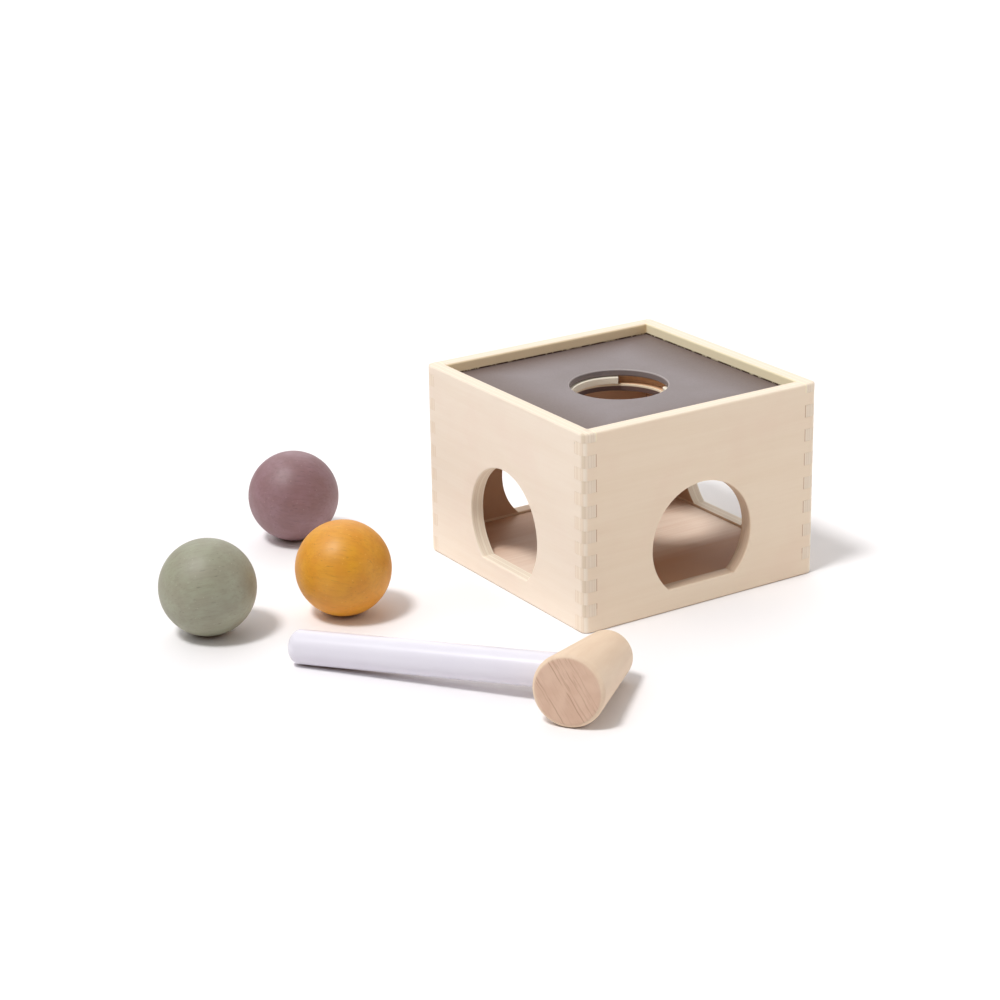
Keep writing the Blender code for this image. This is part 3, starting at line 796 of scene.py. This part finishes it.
def wall_plate(name):
    """A wall before its cuts: along X, outer face at y = 0 facing -Y, foot at z = 0."""
    half = BOX_WIDTH / 2
    inner = half - WALL
    corners = ((0.0, 0.0), (WALL, 0.0), (WALL, BOX_HEIGHT), (0.0, BOX_HEIGHT))
    shape = bmesh.new()
    add_loft(shape, [[(x, y, z) for y, z in corners] for x in (-half, -inner, inner, half)])
    bmesh.ops.recalc_face_normals(shape, faces=shape.faces)

    def round_off(test, width):
        edges = [edge for edge in shape.edges if test(*(vert.co for vert in edge.verts))]
        bmesh.ops.bevel(
            shape,
            geom=edges,
            offset=width,
            offset_type="OFFSET",
            segments=ROUND_STEPS,
            profile=0.5,
            affect="EDGES",
        )

    def at_corner(a, b):
        return all(abs(co.x) > half - NEAR and co.y < NEAR for co in (a, b))

    def at_rim(a, b):
        """Outer edges all along, and inner ones between the neighbouring walls."""
        level = a.z == b.z and not NEAR < a.z < BOX_HEIGHT - NEAR
        outside = all(co.y < CORNER_ROUND + NEAR or abs(co.x) > half - NEAR for co in (a, b))
        inside = all(co.y > WALL - NEAR and abs(co.x) < inner + NEAR for co in (a, b))
        along = (a - b).length > NEAR and not (abs(abs(a.x) - inner) < NEAR and abs(a.x - b.x) < NEAR)
        return level and along and (outside or inside)

    round_off(at_corner, CORNER_ROUND)
    round_off(at_rim, RIM_ROUND)
    return mesh_from(shape, name)


def build_walls():
    side_birch = birch_plywood(
        "birch_sides",
        veneer_tint=(255, 255, 255),
        opening_core=(254, 242, 222),
        # The raw skin above the lid, lighter on the side walls where the key falls: painted light.
        lit_rim=(255, 243, 208),
        finger_tone=(224, 206, 182),
        raw_line=1.0,
    )
    front_birch = birch_plywood(
        "birch_front",
        veneer_tint=(255, 249, 240),
        opening_core=(226, 198, 171),
        # The raw skin above the lid, lit: painted light.
        lit_rim=(255, 231, 193),
        finger_tone=(247, 234, 216),
        raw_line=0.35,
    )
    top_groove = Vector((top_low.z - GROOVE_PLAY, top_high.z + GROOVE_PLAY, 0.0))
    floor_groove = Vector((floor_low.z - GROOVE_PLAY, floor_low.z + FLOOR_TONGUE + GROOVE_PLAY, 0.0))
    for board, (name, first_notch, turn_deg) in enumerate(
        (("front_wall", 1, 0), ("right_wall", 0, 90), ("back_wall", 1, 180), ("left_wall", 0, 270))
    ):
        is_side = board % 2 == 1
        piece = piece_of("plywood_" + name, wall_plate(name))
        run_tree(
            piece,
            JOINERY,
            Length=BOX_WIDTH,
            Thickness=WALL,
            Finger=FINGER,
            Foot_Finger=FOOT_FINGER,
            First_Notch=float(first_notch),
            Notches=len(range(first_notch, FINGER_COUNT, 2)),
            Seam=SEAM,
            End_Seam=SIDE_END_SEAM if is_side else FRONT_END_SEAM,
            Opening_Radius=OPENING_RADIUS,
            Sill_Width=SILL_WIDTH,
            Sill_Height=SILL_Z,
            Behind_Groove=BEHIND_GROOVE,
            Top_Groove=top_groove,
            Floor_Groove=floor_groove,
            Finish=side_birch if is_side else front_birch,
        )
        arris = piece.modifiers.new("opening_round", "BEVEL")
        arris.limit_method = "WEIGHT"
        arris.offset_type = "OFFSET"
        arris.width = OPENING_ROUND
        arris.segments = ROUND_STEPS
        settle(piece)
        keep_wall_place(piece.data, board)
        to_box = Matrix.Translation(BOX_CENTRE) @ Matrix.Rotation(math.radians(turn_deg), 4, "Z")
        close_up(piece, to_box @ Matrix.Translation((0.0, -BOX_WIDTH / 2, 0.0)))
        smooth(piece)
        join_set(piece, "box", name)


def keep_wall_place(mesh, board):
    """Stores each point's place in its own wall, along, through and up, for the finish to read."""
    kept = mesh.attributes.new("wall_place", "FLOAT_VECTOR", "POINT")
    for vert in mesh.vertices:
        kept.data[vert.index].vector = (vert.co.x + board * BOARD_STEP, vert.co.y, vert.co.z)


def square_ring(half, z, segments):
    """Points round a square, at even angles, so that a ring of points meets them one to one."""
    points = []
    for i in range(segments):
        angle = 2 * math.pi * i / segments
        reach = half / max(abs(math.cos(angle)), abs(math.sin(angle)))
        points.append((reach * math.cos(angle), reach * math.sin(angle), z))
    return points


def round_ring(radius, z, segments):
    turns = [2 * math.pi * i / segments for i in range(segments)]
    return [(radius * math.cos(a), radius * math.sin(a), z) for a in turns]


def build_lid():
    half = (top_high.x - top_low.x) / 2
    rings = [square_ring(half, top_low.z, TURNED_SEGMENTS)]
    for z, side in ((top_low.z, -1), (top_high.z, 1)):
        arc = [math.pi / 2 * step / ROUND_STEPS for step in range(ROUND_STEPS + 1)]
        for angle in arc[::side]:
            radius = HOLE_RADIUS + HOLE_ROUND * (1 - math.cos(angle))
            rings.append(round_ring(radius, z - side * HOLE_ROUND * (1 - math.sin(angle)), TURNED_SEGMENTS))
    rings.append(square_ring(half, top_high.z, TURNED_SEGMENTS))
    shape = bmesh.new()
    add_loft(shape, rings, joined=True)
    piece = piece_of("grey_lid", mesh_from(shape, "grey_lid"))
    piece.data.materials.append(grey_paint())
    close_up(piece, Matrix.Translation(BOX_CENTRE))
    smooth(piece)
    join_set(piece, "box", "top_panel")


def build_floor_panel():
    """The floor keeps its frame solid, in birch with painted shade along its front and back edges."""
    panel = frame["nodes"]["floor_panel"]
    material, nodes, shader = finish_of("birch_floor", roughness=0.55, specular=0.2)
    place = nodes.add("ShaderNodeTexCoord").outputs["Object"]
    veneer = nodes.group(FIBRE, Place=place, Length=0.05, Width=0.0018)
    face = nodes.mix(nodes.ramp(veneer["Streak"], 0.3, 0.7), shade(244, 222, 203), shade(236, 209, 188))
    face = nodes.mix(nodes.ramp(veneer["Fibre"], 0.35, 0.7, 0.0, 0.4), face, shade(224, 194, 170))
    # Painted shade, darker and browner, towards the front and back walls, its edge wavering with the streaks.
    across = nodes.math("SUBTRACT", nodes.split(place)[1], BOX_CENTRE.y + FLOOR_SHADE_SHIFT)
    across = nodes.math("MULTIPLY_ADD", veneer["Streak"], FLOOR_SHADE_WAVER, across)
    start, full = FLOOR_SHADE
    front_shade = nodes.ramp(across, -full, -start, 0.95, 0.0)
    back_shade = nodes.ramp(across, start, full, 0.0, 0.6)
    face = nodes.mix(nodes.math("ADD", front_shade, back_shade), face, shade(206, 158, 122))
    nodes.feed(shader.inputs["Base Color"], face)
    raise_skin(nodes, shader, veneer["Fibre"], depth=0.00006)
    panel.data.materials.clear()
    panel.data.materials.append(material)


def build_ball_ring():
    place = Matrix.Translation(BOX_CENTRE)
    outer = (holder_high.x - holder_low.x) / 2
    lip_z = holder_low.z + HOLDER_LIP
    holder = turn(
        "plywood_ring_holder",
        (
            (HOLE_RADIUS, holder_low.z, HOLDER_ROUND),
            (outer, holder_low.z, HOLDER_ROUND),
            (outer, holder_high.z, HOLDER_ROUND),
            (POCKET_RADIUS, holder_high.z, HOLDER_ROUND),
            (POCKET_RADIUS, lip_z, 0.0),
            (HOLE_RADIUS, lip_z, HOLDER_ROUND),
        ),
        holder_plywood(),
        place,
        closed=True,
    )
    join_set(holder, "box", "ring_holder")
    ring = turn(
        "cream_split_ring",
        (
            (RING_INNER, ring_low.z, RING_ROUND),
            (RING_OUTER, ring_low.z, RING_ROUND),
            (RING_OUTER, ring_high.z, RING_ROUND),
            (RING_INNER, ring_high.z, RING_ROUND),
        ),
        ring_cream(),
        place,
        closed=True,
        Start=math.radians(RING_GAP_FACES_DEG + RING_GAP_DEG / 2),
        Sweep=math.radians(360.0 - RING_GAP_DEG),
    )
    join_set(ring, "box", "split_ring")


# Loose pieces


def build_balls():
    stains = {
        "ball_mauve": ball_stain("mauve_stain", (149, 115, 121), (140, 105, 107), (170, 140, 141)),
        "ball_mustard": ball_stain("mustard_stain", (226, 158, 36), (220, 146, 31), (240, 186, 84)),
        "ball_sage": ball_stain("sage_stain", (155, 155, 133), (149, 145, 125), (176, 172, 151)),
    }
    for node, finish in stains.items():
        low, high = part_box(node)
        radius = (high.z - low.z) / 2
        place = Matrix.Translation((low + high) / 2)
        for axis, angle in zip("ZYX", reversed(BALL_TURNS_DEG[node])):
            place = place @ Matrix.Rotation(math.radians(angle), 4, axis)
        ball = turn(
            "wooden_" + node,
            ((0.0, -radius, 0.0), (radius, -radius, radius), (radius, radius, radius), (0.0, radius, 0.0)),
            finish,
            place,
            Round_Steps=BALL_STEPS,
            Waviness=BALL_WAVE,
            Wave_Size=BALL_WAVE_SIZE,
        )
        colour = node.split("_")[1]
        join_set(ball, colour + "_ball", node)


def mallet_place():
    """The mallet as it lies, from its handle's end.

    X runs along the head to its small face, and Y out of the handle's end.
    """
    pivot = next(joint["pos_m"] for joint in frame["joints"] if joint["name"] == "mallet_swing")
    heading = math.radians(MALLET_HEADING_DEG)
    forward = Vector((math.cos(heading), math.sin(heading), 0.0))
    level = Vector((-math.sin(heading), math.cos(heading), 0.0))
    along = math.cos(HEAD_TAPER) * forward - math.sin(HEAD_TAPER) * Vector((0.0, 0.0, 1.0))
    seat_radius = HEAD_BIG_RADIUS - HANDLE_AT * math.tan(HEAD_TAPER)
    drop = (seat_radius * math.cos(HEAD_TAPER) - HANDLE_RADIUS) / NECK
    roll = -math.asin(drop / math.cos(HEAD_TAPER))
    handle = math.cos(roll) * level + math.sin(roll) * along.cross(level)
    place = Matrix((along, handle, along.cross(handle))).transposed().to_4x4()
    place.translation = pivot
    return place


def build_mallet():
    place = mallet_place()
    along_head = Matrix.Translation((-HANDLE_AT, -NECK, 0.0)) @ Matrix.Rotation(math.radians(90), 4, "Y")
    along_handle = Matrix.Rotation(math.radians(-90), 4, "X")
    head = turn(
        "beech_mallet_head",
        (
            (0.0, 0.0, 0.0),
            (HEAD_BIG_RADIUS, 0.0, HEAD_ROUND),
            (HEAD_SMALL_RADIUS, HEAD_LENGTH, HEAD_ROUND),
            (0.0, HEAD_LENGTH, 0.0),
        ),
        beech(),
        place @ along_head,
    )
    inner_end = -NECK - HANDLE_PAST_AXIS
    handle = turn(
        "painted_mallet_handle",
        (
            (0.0, inner_end, 0.0),
            (HANDLE_RADIUS, inner_end, HANDLE_INNER_ROUND),
            (HANDLE_RADIUS, HANDLE_END_ROUND, HANDLE_END_ROUND),
            (0.0, HANDLE_END_ROUND, 0.0),
        ),
        lilac_paint(),
        place @ along_handle,
    )
    socket_radius = HANDLE_RADIUS + SOCKET_PLAY
    socket_end = inner_end - SOCKET_PLAY
    socket = turn(
        "handle_socket",
        (
            (0.0, socket_end, 0.0),
            (socket_radius, socket_end, 0.0),
            (socket_radius, 0.0, 0.0),
            (0.0, 0.0, 0.0),
        ),
        head.data.materials[0],
        place @ along_handle,
    )
    bore = head.modifiers.new("socket", "BOOLEAN")
    bore.operation = "DIFFERENCE"
    bore.solver = "EXACT"
    bore.object = socket
    settle(head)
    bpy.data.objects.remove(socket)
    smooth(head)
    join_set(head, "mallet", "mallet_head")
    join_set(handle, "mallet", "mallet_handle")


# Studio


def build_studio():
    scene = bpy.context.scene
    scene.view_settings.view_transform = "Standard"

    shape = bmesh.new()
    bmesh.ops.create_grid(shape, x_segments=1, y_segments=1, size=FLOOR_HALF)
    floor = piece_of("studio_floor", mesh_from(shape, "studio_floor"))
    material = bpy.data.materials.new("studio_paper")
    material.use_nodes = True
    material.node_tree.nodes.clear()
    nodes = Nodes(material.node_tree)
    hidden = nodes.add("ShaderNodeAmbientOcclusion", {"Distance": CONTACT_REACH}).outputs["AO"]
    depth = nodes.vector(*(nodes.ramp(hidden, *CONTACT_OPEN, darkest, 1.0) for darkest in CONTACT_SHADE))
    colour = nodes.mix(1.0, PAPER, depth, "MULTIPLY")
    paper = nodes.add("ShaderNodeBsdfDiffuse", {"Color": colour}).outputs[0]
    nodes.add("ShaderNodeOutputMaterial", {"Surface": paper})
    floor.data.materials.append(material)

    world = bpy.data.worlds.new("studio_sky")
    world.use_nodes = True
    world.node_tree.nodes.clear()
    nodes = Nodes(world.node_tree)
    towards = nodes.add("ShaderNodeTexCoord").outputs["Generated"]
    level = 0.0
    for heading, height, brightness in SOFT_LIGHTS:
        raised = Matrix.Rotation(math.radians(-height), 3, "Y") @ Vector((1.0, 0.0, 0.0))
        inputs = {0: towards, 1: Matrix.Rotation(math.radians(heading), 3, "Z") @ raised}
        facing = nodes.add("ShaderNodeVectorMath", inputs, operation="DOT_PRODUCT").outputs["Value"]
        lobe = nodes.math("POWER", nodes.math("MAXIMUM", facing, 0.0), SOFT_LIGHT_POWER)
        level = nodes.math("MULTIPLY_ADD", lobe, brightness, level)
    seen = nodes.add("ShaderNodeLightPath").outputs["Is Camera Ray"]
    strength = nodes.ramp(seen, 0.0, 1.0, level, 1.0)
    sky = nodes.add("ShaderNodeBackground", {"Color": (1.0, 1.0, 1.0, 1.0), "Strength": strength})
    nodes.add("ShaderNodeOutputWorld", {"Surface": sky.outputs[0]})
    scene.world = world

    lamp = bpy.data.lights.new("key", "SUN")
    lamp.angle = math.radians(KEY_SPREAD_DEG)
    lamp.energy = KEY_LEVEL * math.pi
    key = bpy.data.objects.new("key", lamp)
    key.rotation_euler = KEY_TRAVEL.to_track_quat("-Z", "Y").to_euler()
    scene.collection.objects.link(key)


def build_camera():
    yaw, pitch, roll = CAMERA_YAW, CAMERA_PITCH, CAMERA_ROLL
    ahead = Vector((math.cos(pitch) * math.cos(yaw), math.cos(pitch) * math.sin(yaw), -math.sin(pitch)))
    level = Vector((math.sin(yaw), -math.cos(yaw), 0.0))
    upward = level.cross(ahead)
    right = math.cos(roll) * level + math.sin(roll) * upward
    up = math.cos(roll) * upward - math.sin(roll) * level
    place = Matrix((right, up, -ahead)).transposed().to_4x4()
    place.translation = FRONT_LEFT_FOOT + CAMERA_FROM_CORNER
    lens = bpy.data.cameras.new("camera")
    lens.sensor_width = SENSOR_MM
    lens.lens = FOCAL_PIXELS / IMAGE_PIXELS * SENSOR_MM
    camera = bpy.data.objects.new("camera", lens)
    camera.matrix_world = place
    bpy.context.scene.collection.objects.link(camera)
    bpy.context.scene.camera = camera


build_camera()
build_studio()
build_walls()
build_lid()
build_floor_panel()
build_ball_ring()
build_balls()
build_mallet()
